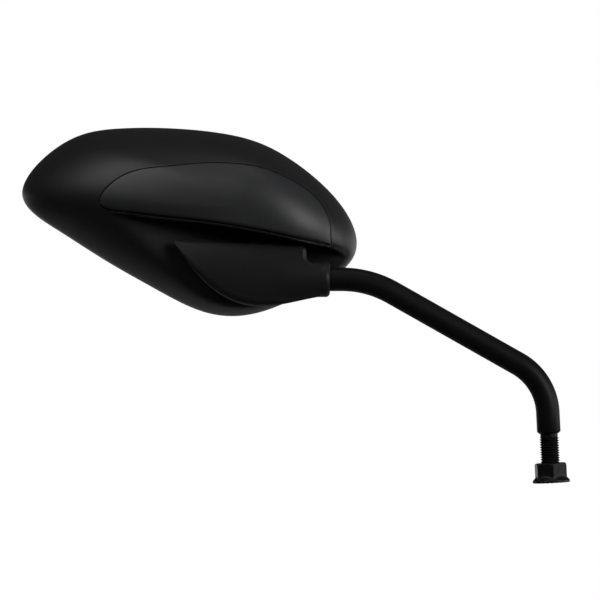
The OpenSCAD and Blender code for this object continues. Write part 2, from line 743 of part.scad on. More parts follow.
// Push-on clip on a pin of the cover panel
module panel_clip(i) {
    p = pin_spots[i];
    seat = pin_seat(outline(head_points), p) + fit_gap;
    color("#a9acb0") in_head() difference() {
        along_y(p, seat) cylinder(h = clip_t, r = clip_r);
        along_y(p, seat - over) cylinder(h = clip_t + 2 * over, r = pin_r + fit_gap);
        for (a = [0, 60, 120]) along_y(p, seat - over) rotate([0, 0, a])
            translate([-clip_slot_w / 2, -clip_slot_len / 2, 0])
                cube([clip_slot_w, clip_slot_len, clip_t + 2 * over]);
    }
}

module glass_carrier() {
    edge = inset(outline(head_points), shell_wall + seal_w + 2 * fit_gap);
    front = glass_front - glass_t - pad_t - 2 * fit_gap;
    color("#222326") in_head() difference() {
        union() {
            lens_shell(edge, front, carrier_t);
            // Rib along the edge
            intersection() {
                difference() {
                    loop_plate(edge, carrier_seat, front);
                    loop_plate(inset(edge, carrier_rib), carrier_seat - over, front + over);
                }
                lens_cap(front, 0);
            }
            // Seats on the shell's posts
            intersection() {
                for (p = carrier_spots) along_y(p, carrier_seat + fit_gap)
                    cylinder(h = front - carrier_seat, r = screw_head_r + carrier_boss_wall);
                lens_cap(front, 0);
            }
        }
        // Window over the clamp, inside the rib
        intersection() {
            along_y([0, 0], 0) cylinder(h = 2 * rim_back, r = window_r);
            loop_plate(inset(edge, carrier_rib + window_ledge), 0, 2 * rim_back);
        }
        // Room for the clamp screws' heads
        for (i = [0 : 2]) along_y(clamp_spot(i), 0)
            cylinder(h = 2 * rim_back, r = screw_head_r + 2 * head_clear);
        for (p = carrier_spots) {
            along_y(p, 0) cylinder(h = 2 * rim_back, r = clear_r);
            // Sunk seat for the screw's head
            along_y(p, carrier_seat + carrier_web) cylinder(h = rim_back, r = screw_head_r + head_clear);
        }
    }
}

module carrier_screw(i) {
    pan_screw(carrier_spots[i], carrier_seat + carrier_web + fit_gap, carrier_grip);
}

module adhesive_pad() {
    edge = [for (p = outline(head_points)) mix(lens_centre, p, pad_share)];
    color("#3a3a3c") in_head() difference() {
        lens_shell(edge, glass_front - glass_t - fit_gap, pad_t);
        along_y([0, 0], 0) cylinder(h = 2 * rim_back, r = window_r);
    }
}

module mirror_glass() {
    edge = inset(outline(head_points), shell_wall + seal_w + fit_gap);
    color("#c9d3d8") in_head() lens_shell(edge, glass_front, glass_t);
}

module glass_seal() {
    outer = inset(outline(head_points), shell_wall + fit_gap);
    inner = inset(outline(head_points), shell_wall + seal_w);
    color("#0e0e0f") in_head() difference() {
        loop_plate(outer, dome_base + seal_step, rim_back - seal_lip);
        loop_plate(inner, dome_base - over, rim_back + over);
    }
}

module flange_nut() {
    corner_r = nut_af / sqrt(3);
    color("#202124") difference() {
        union() {
            // Hexagon, chamfered on top
            intersection() {
                rotate([0, 0, nut_turn]) cylinder(h = nut_h, r = corner_r, $fn = 6);
                cylinder(h = nut_h, r1 = nut_af / 2 + nut_h * 1.8, r2 = nut_af / 2 - 0.1);
            }
            // Flange
            cylinder(h = flange_rim, r = nut_flange_d / 2);
            translate([0, 0, flange_rim])
                cylinder(h = flange_cone - flange_rim, r1 = nut_flange_d / 2, r2 = nut_af / 2);
        }
        translate([0, 0, -over]) cylinder(h = nut_h + 2 * over, r = nut_bore);
        translate([0, 0, nut_h - 0.8 * nut_mouth])
            cylinder(h = nut_mouth, r1 = nut_bore, r2 = nut_bore + nut_mouth);
        // Serrations in the outer ring of the seat
        for (i = [0 : serrations - 1]) rotate([0, 0, 360 * i / serrations])
            translate([serration_in, 0, 0]) rotate([serration_lean, 0, 0])
                translate([0, -0.3, 0.2 - serration_h])
                    cube([nut_flange_d / 2, serration_w, serration_h]);
    }
}

arm();
stem_bracket();
grub_screw(0);  // grub_screw_1
grub_screw(1);  // grub_screw_2
ball_stud();
ball_liner();
ball_socket();
socket_screw(0);  // socket_screw_1
socket_screw(1);  // socket_screw_2
socket_screw(2);  // socket_screw_3
clamp_plate();
clamp_screw(0);  // clamp_screw_1
clamp_screw(1);  // clamp_screw_2
clamp_screw(2);  // clamp_screw_3
clamp_spring(0);  // clamp_spring_1
clamp_spring(1);  // clamp_spring_2
clamp_spring(2);  // clamp_spring_3
housing();
cover_panel();
panel_clip(0);  // panel_clip_1
panel_clip(1);  // panel_clip_2
panel_clip(2);  // panel_clip_3
glass_carrier();
carrier_screw(0);  // carrier_screw_1
carrier_screw(1);  // carrier_screw_2
carrier_screw(2);  // carrier_screw_3
carrier_screw(3);  // carrier_screw_4
adhesive_pad();
mirror_glass();
glass_seal();
flange_nut();
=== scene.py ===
"""Looks of a motorcycle mirror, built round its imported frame: a moulded head with an inset
cover panel, a cast stem bracket, a bent rod arm with a threaded stud, and a flange nut."""

import math

import bpy
import numpy as np
from bpy.props import FloatProperty, FloatVectorProperty, PointerProperty
from mathutils import Matrix, Vector


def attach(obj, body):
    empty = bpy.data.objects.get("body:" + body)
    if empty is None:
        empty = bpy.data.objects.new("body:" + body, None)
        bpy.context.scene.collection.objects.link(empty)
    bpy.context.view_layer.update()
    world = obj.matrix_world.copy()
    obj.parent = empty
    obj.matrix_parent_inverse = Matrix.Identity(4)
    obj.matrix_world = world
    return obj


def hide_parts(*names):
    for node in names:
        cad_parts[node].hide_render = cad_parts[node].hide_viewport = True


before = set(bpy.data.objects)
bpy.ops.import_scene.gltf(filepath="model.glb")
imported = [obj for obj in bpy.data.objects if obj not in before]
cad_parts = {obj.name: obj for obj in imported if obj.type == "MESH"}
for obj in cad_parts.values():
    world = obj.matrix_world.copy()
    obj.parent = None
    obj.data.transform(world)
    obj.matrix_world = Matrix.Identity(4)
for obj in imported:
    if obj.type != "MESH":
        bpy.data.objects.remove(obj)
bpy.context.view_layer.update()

bl_info = {
    "name": "Motorcycle Mirror Looks",
    "version": (1, 0, 0),
    "blender": (4, 5, 0),
    "location": "View3D > Sidebar > Mirror",
    "description": "Detailed meshes, finishes and a studio for a stud-mounted motorcycle mirror",
    "category": "Object",
}

# Head, in millimetres from the centre of the ball: x to the root, y to the glass, z up
HEAD_W = 172.0
HEAD_H = 97.5
CROWN_REACH = 36.0
RIM_BACK = 22.0
RIM_ROUND = 0.7
SHELL_WALL = 2.4
SKIRT = 6.0
HEAD_ROLL = math.radians(2.9)
CROWN = np.array([-0.05 * HEAD_W, 0.26 * HEAD_H])
TIP_FULLNESS = 1.9
ROOT_FULLNESS = 2.9
DOME_BASE = RIM_BACK - SKIRT
DOME_DEPTH = DOME_BASE + CROWN_REACH

# Outlines of the head and of its cover panel, in percent of the head's width and height.
# A station is a place along either, counted in control points.
HEAD_CONTROL = [
    (-76.5, 32.5), (-58, 65), (-43, 69), (-24.5, 69), (-4, 65), (9, 54.5), (26, 30),
    (33, 0), (15.5, -17.5), (0, -31), (-15.5, -31.5), (-31.5, -15.5), (-45.5, -2), (-59.5, 14.5),
]
PANEL_CONTROL = [
    (-50.5, 25), (-40, 46), (-25.5, 47), (-16, 49.5), (-0.5, 48.5), (8.5, 42), (20.5, 29.5),
    (23.5, 1.5), (11.5, 10.5), (1, 14), (-8, 17), (-18.5, 19.5), (-28, 21), (-37.5, 23.5),
]
PER_STATION = 30
PER_STATION_FINE = 200
EDGE_CLEARANCE = 0.06

# Cover panel, with the tight corner of its lobe, and the seam's edge on the shell
PANEL_T = 2.2
LOBE_STATION = 7
LOBE_CORNER = (37.1, 6.25)
LOBE_REACH = (0.6, 1.5)
POCKET = PANEL_T + 0.15
POCKET_SHELF = 4.0
SEAM_ROUND = 0.14

# Lip along the panel, and the recess for the bracket that opens under it between two stations
LIP_W = 1.0
LIP_T = PANEL_T + 1.4
LIP_ROUND = 0.8
RECESS_START = 6.96
RECESS_FULL = 7.2
RECESS_TIP = 13.2
RECESS_FADE = 0.8
ROOF_RISE = 6.0
FLOOR_AHEAD = 3.0
FLOOR_SLOPE = 0.27
FLOOR_TURN = 5.0
FLOOR_BLEND = 3.0
UNDERCUT = 2.6
RECESS_FILLET = 2.5

# Glass
GLASS_FRONT = RIM_BACK - 0.6
GLASS_T = 2.0
GLASS_BEVEL = 0.5
SEAL_W = 1.3
LENS_CENTRE = np.array([-0.205 * HEAD_W, 0.19 * HEAD_H])

# Arm and stud, in millimetres, with heights above the nut's seat
BALL_RISE = 11.0
BALL_BACK = 19.0
BALL_REACH = 56.4
ROD_R = 6.0
CORNER_SPAN = 103.4
ARM_FALL = math.radians(32.4)
CORNER_RISE = 52.3
INNER_BEND = 52.0
LOWER_BEND = 30.0
STUD_R = 4.95
STUD_LOW = 1.5
NECK_R = STUD_R - 0.5
NECK_H = 1.8
THREAD_DEPTH = 0.61
SHOULDER_RISE = 25.0
SHOULDER_BEVEL = 1.0

# Stem bracket, in the head's axes
COLLAR_R = 9.0
COLLAR_IN = 9.0
COLLAR_OUT = 36.7
COLLAR_CAP = 5.0
COLLAR_ROUND = 2.2
COLLAR_FADE = 12.0
COLLAR_FADE_START = -6.0
COLLAR_FADE_RUN = 22.0
COLLAR_BLEND = 2.0
FIN_FRONT = BALL_BACK + COLLAR_R
FIN_SWEEP = 420.0
FIN_CROWN = 44.0
FIN_TOP = 8.7
FIN_NOTCH = 24.8
FIN_TIP = -42.5
FIN_MIDDLE = -8.0
FIN_SINK = 0.15
FIN_WALL = 3.0
FIN_REAR = -16.0
FIN_REAR_TURN = -6.0
FIN_REAR_SLOPE = math.tan(math.radians(10))
BOSS = [(8.5, -25), (7.4, -24), (7, -22.8), (7, -15.4), (6.6, -15), (4.05, -15), (4.05, -20)]

# Flange nut
NUT_AF = 15.0
NUT_H = 10.0
NUT_FLANGE_R = 9.5
NUT_RIM = 1.3
NUT_CONE = 3.4
NUT_EASE = 0.12
NUT_BORE_R = STUD_R + 0.05
SERRATIONS = 24
SERRATION_DEPTH = 0.32

LOWER_TURN = math.pi / 2 - ARM_FALL
INNER_TURN = ARM_FALL - HEAD_ROLL
INNER_RUN = INNER_BEND * math.tan(INNER_TURN / 2)
LOWER_RUN = LOWER_BEND * math.tan(LOWER_TURN / 2)
STUB_DIR = np.array([-math.cos(HEAD_ROLL), math.sin(HEAD_ROLL)])
STUB_UP = np.array([math.sin(HEAD_ROLL), math.cos(HEAD_ROLL)])
ARM_DIR = np.array([-math.cos(ARM_FALL), math.sin(ARM_FALL)])
INNER_CORNER = np.array([0, CORNER_RISE]) + CORNER_SPAN * ARM_DIR
BALL_XZ = INNER_CORNER + BALL_REACH * STUB_DIR + BALL_RISE * STUB_UP

# Finishes: cloudy patches per metre, and how much brighter the cloudy colour gets
PATCHES = 26.0
LIFT = 1.25

# Studio, in metres: the photograph's frame at the arm's plane, and where the lamps aim
FRAME_W = 0.3066
FRAME_CENTRE = Vector((-0.1227, 0.018, 0.0990))
SENSOR_W = 36
LAMP_AIM = Vector((-0.16, 0, 0.13))
LAMP_DISTANCE = 1.4
LAMP_SPREAD = math.radians(50)
FLOOR_REACH = 8.0
WHITE = (1, 1, 1, 1)


# Outlines and curves


def smooth(x):
    """Smooth step from 0 to 1."""
    u = np.clip(x, 0, 1)
    return u * u * (3 - 2 * u)


def mix(a, b, u):
    """Straight mix of a and b."""
    return a + (b - a) * u


def softmax(a, b, k):
    """The larger of a and b, with a blend of width k."""
    return (a + b + np.sqrt((a - b) ** 2 + k * k)) / 2


def softmin(a, b, k):
    """The smaller of a and b, with a blend of width k."""
    return (a + b - np.sqrt((a - b) ** 2 + k * k)) / 2


def quarter(count):
    """Angles of a quarter turn, both ends with it."""
    return np.linspace(0, math.pi / 2, count)


def circle(sides):
    """Evenly spaced angles of a whole turn."""
    return np.arange(sides) * 2 * math.pi / sides


def spline(control, per):
    """Closed cubic B-spline, in percent of the head, with per points for each control point."""
    c = np.array(control, float) * [HEAD_W / 100, HEAD_H / 100]
    n = len(c)
    t = np.arange(n * per) / per
    k = t.astype(int)
    f = (t - k)[:, None]
    return (
        (1 - f) ** 3 * c[(k - 1) % n]
        + (3 * f**3 - 6 * f**2 + 4) * c[k % n]
        + (-3 * f**3 + 3 * f**2 + 3 * f + 1) * c[(k + 1) % n]
        + f**3 * c[(k + 2) % n]
    ) / 6


def directions(loop):
    """Unit vectors along a closed outline. It runs clockwise, so they point left on its lower side."""
    way = np.roll(loop, -1, axis=0) - np.roll(loop, 1, axis=0)
    return way / np.linalg.norm(way, axis=1)[:, None]


def inset(loop, d):
    """Outline moved inwards by d, one distance or one for each point."""
    way = directions(loop)
    return loop + np.asarray(d).reshape(-1, 1) * np.stack([way[:, 1], -way[:, 0]], 1)


def softened(loop):
    """Outline with each point drawn halfway to the middle of its neighbours."""
    return loop / 2 + (np.roll(loop, 1, axis=0) + np.roll(loop, -1, axis=0)) / 4


def with_corner(loop, at, corner, reach):
    """Outline drawn to a tight corner at one station, straight for a reach before and after it."""
    s = (STATION - at) / np.where(STATION < at, reach[0], reach[1])
    near = np.abs(s) < 1
    first, last = loop[np.argmin(np.abs(s + 1))], loop[np.argmin(np.abs(s - 1))]
    far = np.where(s[:, None] < 0, first, last)
    straight = mix(np.array(corner), far, np.abs(s)[:, None])
    made = np.where(near[:, None], mix(straight, loop, smooth(np.abs(s) ** 2)[:, None]), loop)
    for _ in range(3):
        made = np.where(near[:, None], softened(made), made)
    return made


def rounded(points, radius):
    """Open polyline with its inner corners rounded by about the radius, where its sides leave room."""
    p = [np.array(q, float) for q in points]
    out = [p[0]]
    for a, b, c in zip(p, p[1:], p[2:]):
        la, lc = np.linalg.norm(a - b), np.linalg.norm(c - b)
        r = min(radius, la * 0.45, lc * 0.45)
        s, e = b + (a - b) / la * r, b + (c - b) / lc * r
        for u in np.linspace(0, 1, 5):
            out.append((1 - u) ** 2 * s + 2 * u * (1 - u) * b + u * u * e)
    out.append(p[-1])
    return out


def bezier(a, b, c, d, count):
    """Points of a cubic curve, its last one left out."""
    u = np.arange(count)[:, None] / count
    a, b, c, d = (np.array(q, float) for q in (a, b, c, d))
    return (1 - u) ** 3 * a + 3 * u * (1 - u) ** 2 * b + 3 * u * u * (1 - u) * c + u**3 * d


STATION = np.arange(len(HEAD_CONTROL) * PER_STATION) / PER_STATION
EDGE = inset(spline(HEAD_CONTROL, PER_STATION), EDGE_CLEARANCE)
LOOP = with_corner(spline(PANEL_CONTROL, PER_STATION), LOBE_STATION, LOBE_CORNER, LOBE_REACH)
OUTLINE = spline(HEAD_CONTROL, PER_STATION_FINE) - CROWN
OUTLINE_ANGLE = np.arctan2(OUTLINE[:, 1], OUTLINE[:, 0])
OUTLINE_REACH = np.hypot(OUTLINE[:, 0], OUTLINE[:, 1])


# The head's surface and its place


def share(p):
    """Distance of p from the crown, as a share of the outline's distance on the same ray."""
    q = p - CROWN
    angle = np.arctan2(q[..., 1], q[..., 0])
    reach = np.interp(angle, OUTLINE_ANGLE, OUTLINE_REACH, period=2 * math.pi)
    return np.hypot(q[..., 0], q[..., 1]) / reach


def dome(p):
    """Depth of the head's domed surface at p."""
    q = p - CROWN
    side = (1 + q[..., 0] / np.maximum(np.hypot(q[..., 0], q[..., 1]), 0.01)) / 2
    full = mix(TIP_FULLNESS, ROOT_FULLNESS, side)
    return DOME_BASE - DOME_DEPTH * np.sqrt(np.maximum(1 - np.minimum(share(p), 1) ** full, 0))


def skin(p, cut):
    """Depth of the shell's outer surface at p, with the recess cut to the strength given."""
    d = dome(p)
    floor = -FLOOR_AHEAD - FLOOR_SLOPE * np.maximum(0, FLOOR_TURN - p[..., 0])
    return mix(d, softmax(d, floor, FLOOR_BLEND), cut)


def with_depth(p, y):
    """Points of the head from their place in its plane and their depth, one or one for each."""
    return np.stack([p[:, 0], np.broadcast_to(y, len(p)), p[:, 1]], 1)


def in_head(points):
    """Head coordinates in millimetres to the row frame in metres."""
    p = np.asarray(points, float).reshape(-1, 3)
    c, s = math.cos(HEAD_ROLL), math.sin(HEAD_ROLL)
    x = p[:, 0] * c + p[:, 2] * s + BALL_XZ[0]
    z = -p[:, 0] * s + p[:, 2] * c + BALL_XZ[1]
    return np.stack([x, p[:, 1] + BALL_BACK, z], 1) / 1000


def in_row(points):
    """Row coordinates in millimetres to metres."""
    return np.asarray(points, float).reshape(-1, 3) / 1000


def along_collar(q):
    """Points turned about Z to the collar's axis, which runs along the head's x."""
    return in_head(np.stack([q[:, 2], q[:, 0] - BALL_BACK, q[:, 1] - BALL_RISE], 1))


def along_ball_stud(q):
    """Points turned about Z to the ball stud's axis, which runs from the bracket to the glass."""
    return in_head(np.stack([q[:, 0], q[:, 2], q[:, 1]], 1))


def ring_about_z(around, radius, height):
    """Ring about Z at the angles given, its radius and its height one number or one for each angle."""
    z = np.broadcast_to(height, len(around))
    return np.stack([radius * np.cos(around), radius * np.sin(around), z], 1)


class Surface:
    """Gathers the faces of one piece before its mesh is made."""

    def __init__(self):
        self.points = []
        self.faces = []
        self.count = 0

    def add(self, corners, flip):
        """Faces from the numbers of their first, second and further corners."""
        faces = np.stack(corners, 1)
        self.faces += (faces[:, ::-1] if flip else faces).tolist()

    def loft(self, rings, place, first=None, flip=False):
        """Closed rings of equal length joined in order, the first one closed by a point where given."""
        n, base = len(rings[0]), self.count
        stack = np.concatenate(rings if first is None else [*rings, [first]])
        self.points.append(place(stack))
        self.count += len(stack)
        i = np.arange(n)
        k = (i + 1) % n
        for j in range(len(rings) - 1):
            a, b = base + j * n, base + (j + 1) * n
            self.add([a + i, a + k, b + k, b + i], flip)
        if first is not None:
            self.add([np.full(n, base + len(rings) * n), base + k, base + i], flip)

    def revolve(self, profile, place, sides, flip=False):
        """Profile of (radius, height) pairs turned about Z, then placed."""
        self.loft([ring_about_z(circle(sides), r, h) for r, h in profile], place, flip=flip)

    def piece(self, name, paint, angle):
        """Mesh object with smooth faces and sharp edges beyond the angle."""
        mesh = bpy.data.meshes.new(name)
        mesh.from_pydata(np.concatenate(self.points).tolist(), [], self.faces)
        mesh.validate()
        mesh.shade_smooth()
        mesh.set_sharp_from_angle(angle=math.radians(angle))
        obj = bpy.data.objects.new(name, mesh)
        bpy.context.collection.objects.link(obj)
        mesh.materials.append(paint)
        return obj


# Nodes


def node(tree, kind, values=(), **settings):
    """Node with its settings and the values or links of its inputs."""
    made = tree.nodes.new(kind)
    for key, value in settings.items():
        setattr(made, key, value)
    for key, value in dict(values).items():
        if isinstance(value, bpy.types.NodeSocket):
            tree.links.new(value, made.inputs[key])
        else:
            made.inputs[key].default_value = value
    return made


def ramp(tree, value, low=0.0, high=1.0, start=0.0, end=1.0):
    """Number that runs from start to end while the value runs from low to high."""
    values = {"Value": value, 1: low, 2: high, 3: start, 4: end}
    return node(tree, "ShaderNodeMapRange", values).outputs[0]


def maths(tree, operation, a, b):
    """Sum, product or other operation on two numbers."""
    return node(tree, "ShaderNodeMath", {0: a, 1: b}, operation=operation).outputs[0]


def mixed(tree, factor, a, b):
    """Colour between a and b."""
    return node(tree, "ShaderNodeMix", {0: factor, 6: a, 7: b}, data_type="RGBA").outputs[2]


def group(name, inputs, output):
    """Shader node group of numbers, and its input and output nodes."""
    tree = bpy.data.node_groups.new(name, "ShaderNodeTree")
    for label, value in inputs.items():
        socket = tree.interface.new_socket(label, in_out="INPUT", socket_type="NodeSocketFloat")
        socket.default_value = value
    tree.interface.new_socket(output, in_out="OUTPUT", socket_type="NodeSocketFloat")
    return tree, tree.nodes.new("NodeGroupInput"), tree.nodes.new("NodeGroupOutput")


def grain_group():
    """Height of a fine moulded or powder-coated grain."""
    tree, start, end = group("Surface Grain", {"Grains per metre": 2600.0, "Coarse share": 0.35}, "Height")
    spot = node(tree, "ShaderNodeTexCoord").outputs["Object"]
    scale = start.outputs["Grains per metre"]
    fine = node(tree, "ShaderNodeTexNoise", {"Vector": spot, "Scale": scale, "Detail": 2.0})
    cells = node(tree, "ShaderNodeTexVoronoi", {"Vector": spot, "Scale": scale}, feature="SMOOTH_F1")
    both = node(
        tree, "ShaderNodeMix",
        {0: start.outputs["Coarse share"], 2: fine.outputs[0], 3: cells.outputs["Distance"]},
        data_type="FLOAT",
    )
    tree.links.new(both.outputs[0], end.inputs["Height"])
    return tree


def handling_group():
    """Faint cloudy variation of a surface that has been handled and wiped."""
    tree, start, end = group(
        "Handling Marks", {"Patches per metre": PATCHES, "Low": 0.3, "High": 0.4}, "Value"
    )
    cloud = node(
        tree, "ShaderNodeTexNoise",
        {"Vector": node(tree, "ShaderNodeTexCoord").outputs["Object"],
         "Scale": start.outputs["Patches per metre"],
         "Detail": 5.0, "Roughness": 0.62, "Distortion": 0.4},
    )
    spread = ramp(tree, cloud.outputs[0], 0.35, 0.68, start.outputs["Low"], start.outputs["High"])
    tree.links.new(spread, end.inputs["Value"])
    return tree


def wear_group():
    """Mask of a surface's outer edges, broken up as wear is."""
    tree, start, end = group("Edge Wear", {"Reach": 0.55, "Break-up per metre": 900.0}, "Mask")
    patches = node(
        tree, "ShaderNodeTexNoise",
        {"Vector": node(tree, "ShaderNodeTexCoord").outputs["Object"],
         "Scale": start.outputs["Break-up per metre"], "Detail": 3.0},
    )
    edge = node(tree, "ShaderNodeNewGeometry").outputs["Pointiness"]
    broken = maths(tree, "ADD", edge, maths(tree, "MULTIPLY", patches.outputs[0], 0.12))
    full = maths(tree, "ADD", start.outputs["Reach"], 0.09)
    tree.links.new(ramp(tree, broken, start.outputs["Reach"], full), end.inputs["Mask"])
    return tree


GROUP_MAKERS = {"grain": grain_group, "handling": handling_group, "wear": wear_group}
GROUPS = {}


def placed(tree, name, values):
    """Output of one of the shared groups, placed in a material with its own values."""
    if name not in GROUPS:
        GROUPS[name] = GROUP_MAKERS[name]()
    made = tree.nodes.new("ShaderNodeGroup")
    made.node_tree = GROUPS[name]
    for key, value in values.items():
        made.inputs[key].default_value = value
    return made.outputs[0]


# Finishes


def finish(name, colour, rough, gloss, grain, depth, coarse=0.35, metallic=0.0, wear=None, worn=None):
    """Material with a cloudy colour and roughness, a fine grain and, where given, worn edges."""
    made = bpy.data.materials.new(name)
    made.use_nodes = True
    made.diffuse_color = (*colour, 1)
    made.roughness = rough[0]
    tree = made.node_tree
    shader = tree.nodes["Principled BSDF"].inputs
    shader["Specular IOR Level"].default_value = gloss
    shader["Metallic"].default_value = metallic
    marks = placed(tree, "handling", {"Patches per metre": PATCHES, "Low": rough[0], "High": rough[1]})
    tree.links.new(marks, shader["Roughness"])
    cloud = placed(tree, "handling", {"Patches per metre": PATCHES * 0.6, "Low": 0.0, "High": 1.0})
    shade = mixed(tree, cloud, (*colour, 1), (*(LIFT * c for c in colour), 1))
    if wear is not None:
        shade = mixed(tree, placed(tree, "wear", {"Reach": wear}), shade, (*worn, 1))
    tree.links.new(shade, shader["Base Color"])
    height = placed(tree, "grain", {"Grains per metre": grain, "Coarse share": coarse})
    bump = node(tree, "ShaderNodeBump", {"Strength": 1.0, "Distance": depth, "Height": height})
    tree.links.new(bump.outputs["Normal"], shader["Normal"])
    return made


def mirror_finish():
    """Silvered convex glass with a faint cool tint."""
    made = bpy.data.materials.new("Silvered Glass")
    made.use_nodes = True
    made.diffuse_color = (0.8, 0.83, 0.86, 1)
    tree = made.node_tree
    shader = tree.nodes["Principled BSDF"].inputs
    shader["Metallic"].default_value = 1.0
    shader["Coat Weight"].default_value = 1.0
    shader["Coat Roughness"].default_value = 0.01
    tone = placed(tree, "handling", {"Patches per metre": 14.0, "Low": 0.0, "High": 1.0})
    tree.links.new(mixed(tree, tone, (0.79, 0.83, 0.87, 1), (0.82, 0.855, 0.89, 1)), shader["Base Color"])
    dust = placed(tree, "handling", {"Patches per metre": 40.0, "Low": 0.015, "High": 0.03})
    tree.links.new(dust, shader["Roughness"])
    return made


def recipes(look):
    """What each finish is made of. Its grain is in grains per metre, and the grain's depth in metres."""
    return {
        "shell": dict(
            name="Grained Black Plastic", colour=look.shell, rough=(0.40, 0.45), gloss=look.shell_gloss,
            grain=3200.0, depth=0.000022, coarse=0.5,
        ),
        "panel": dict(
            name="Satin Panel Plastic", colour=look.panel, rough=(0.47, 0.52), gloss=look.panel_gloss,
            grain=3600.0, depth=0.000008,
        ),
        "cast": dict(
            name="Satin Coated Casting", colour=look.bracket, rough=(0.38, 0.44), gloss=look.bracket_gloss,
            grain=1500.0, depth=0.000016, coarse=0.2,
        ),
        "rod": dict(
            name="Matt Powder Coat", colour=look.rod, rough=(0.42, 0.48), gloss=look.rod_gloss,
            grain=1900.0, depth=0.00003, coarse=0.2,
        ),
        "nut": dict(
            name="Black Plated Steel", colour=look.nut, rough=(0.34, 0.42), gloss=look.nut_gloss,
            grain=2500.0, depth=0.00001, wear=0.60, worn=(0.09, 0.09, 0.095),
        ),
        "rubber": dict(
            name="Black Rubber", colour=(0.006, 0.006, 0.006), rough=(0.55, 0.65), gloss=0.3,
            grain=4200.0, depth=0.00001,
        ),
        "steel": dict(
            name="Zinc Plated Steel", colour=(0.55, 0.55, 0.56), rough=(0.22, 0.34), gloss=0.5,
            grain=2200.0, depth=0.000006, metallic=1.0,
        ),
        "dark_steel": dict(
            name="Blackened Steel", colour=(0.05, 0.05, 0.055), rough=(0.3, 0.4), gloss=0.5,
            grain=2200.0, depth=0.000006, metallic=0.8,
        ),
        "alloy": dict(
            name="Cast Alloy, Black Coated", colour=(0.02, 0.02, 0.022), rough=(0.42, 0.5), gloss=0.25,
            grain=1400.0, depth=0.00003,
        ),
        "nylon": dict(
            name="Natural Nylon", colour=(0.62, 0.59, 0.5), rough=(0.35, 0.45), gloss=0.5,
            grain=2600.0, depth=0.000006,
        ),
        "carrier": dict(
            name="Carrier Plastic", colour=(0.02, 0.02, 0.022), rough=(0.45, 0.52), gloss=0.4,
            grain=3000.0, depth=0.00001,
        ),
        "foam": dict(
            name="Foam Tape", colour=(0.04, 0.04, 0.042), rough=(0.85, 0.95), gloss=0.2,
            grain=1500.0, depth=0.00012,
        ),
    }


MATERIALS = {}


def material(name):
    """The finish of that name, made at its first use from the colours in the sidebar."""
    if name not in MATERIALS:
        look = bpy.context.scene.mirror_finishes
        MATERIALS[name] = mirror_finish() if name == "glass" else finish(**recipes(look)[name])
    return MATERIALS[name]


# Head


def seam_rings(seam):
    """Rings from the pocket's floor under the panel up to the shell's surface, round the seam's edge."""

    def level(loop, w):
        return with_depth(loop, dome(loop) + w)

    rings = [level(inset(seam, POCKET_SHELF), POCKET), level(seam, POCKET), level(seam, SEAM_ROUND)]
    for a in (0.5, 1.0, math.pi / 2):
        rings.append(level(inset(seam, SEAM_ROUND * (math.cos(a) - 1)), SEAM_ROUND * (1 - math.sin(a))))
    return rings


def rim_rings():
    """Rings down the skirt, round the rim and up the inside of the wall."""
    start = RIM_BACK - RIM_ROUND
    rings = [with_depth(EDGE, y) for y in (DOME_BASE + 1.5, start - 1, start)]
    for a in np.linspace(0, math.pi, 9)[1:]:
        inner = inset(EDGE, SHELL_WALL / 2 * (1 - math.cos(a)))
        rings.append(with_depth(inner, start + (RIM_ROUND - 0.01) * math.sin(a)))
    return rings + [with_depth(inset(EDGE, SHELL_WALL), y) for y in (RIM_BACK - 1.5, DOME_BASE - 1)]


def shell_rings(seam_gap):
    """Rings of the shell's surface, from the pocket under the panel out to the rim and inside it."""
    seam = inset(LOOP, -seam_gap)
    lip = inset(seam, -LIP_W)
    span = EDGE - lip
    unit = span / np.linalg.norm(span, axis=1)[:, None]
    opening = smooth((STATION - RECESS_START) / (RECESS_FULL - RECESS_START))
    cut = opening * (1 - smooth((STATION - RECESS_TIP) / RECESS_FADE))
    high = dome(lip)
    low = skin(lip + UNDERCUT * unit, cut)
    roof = smooth((low - dome(lip + UNDERCUT * unit)) / ROOF_RISE)

    def ring(plain, under, y):
        # Moved out by plain where the dome goes on, and by under, at depth y, where the recess opens
        p = lip + mix(plain, under, roof)[:, None] * unit
        return with_depth(p, mix(skin(p, cut), y, roof))

    rings = seam_rings(seam)
    # The lip's lower edge is rounded only where the recess opens under it
    for k, a in enumerate(quarter(7)):
        rings.append(ring(0.02 * k, LIP_ROUND * (math.sin(a) - 1), high + LIP_ROUND * (1 - math.cos(a))))
    # Face of the lip, its back and the roof of the recess
    back = [(0, LIP_ROUND), (0, LIP_T), (-UNDERCUT, LIP_T + 1.5), (-UNDERCUT, LIP_T + 4)]
    for k, (under, fall) in enumerate(rounded(back, 0.8)[1:]):
        rings.append(ring(0.15 + 0.06 * k, under, high + fall))
    # Fillet from the roof into the floor
    for k, a in enumerate(quarter(9)):
        under = RECESS_FILLET * (1 - math.cos(a)) - UNDERCUT
        rings.append(ring(1.0 + 0.11 * k, under, low - RECESS_FILLET * (1 - math.sin(a))))
    # Dome and recess floor out to the edge, with closer rings where the dome turns steep
    for s in (*np.linspace(0.1, 0.9, 34), 0.925, 0.945, 0.96, 0.973, 0.983, 0.991, 0.997, 1):
        p = mix(lip, EDGE, s)
        rings.append(with_depth(p, skin(p, cut)))
    return rings + rim_rings()


class MIRROR_OT_shell(bpy.types.Operator):
    """Moulded shell of the head, with the recess for the bracket under the lip"""

    bl_idname = "mirror.shell"
    bl_label = "Shell"

    def execute(self, context):
        surface = Surface()
        surface.loft(shell_rings(context.scene.mirror_sizes.seam * 1000), in_head)
        obj = surface.piece("shell_moulding", material("shell"), 40)
        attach(obj, "head")
        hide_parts("housing")
        return {"FINISHED"}


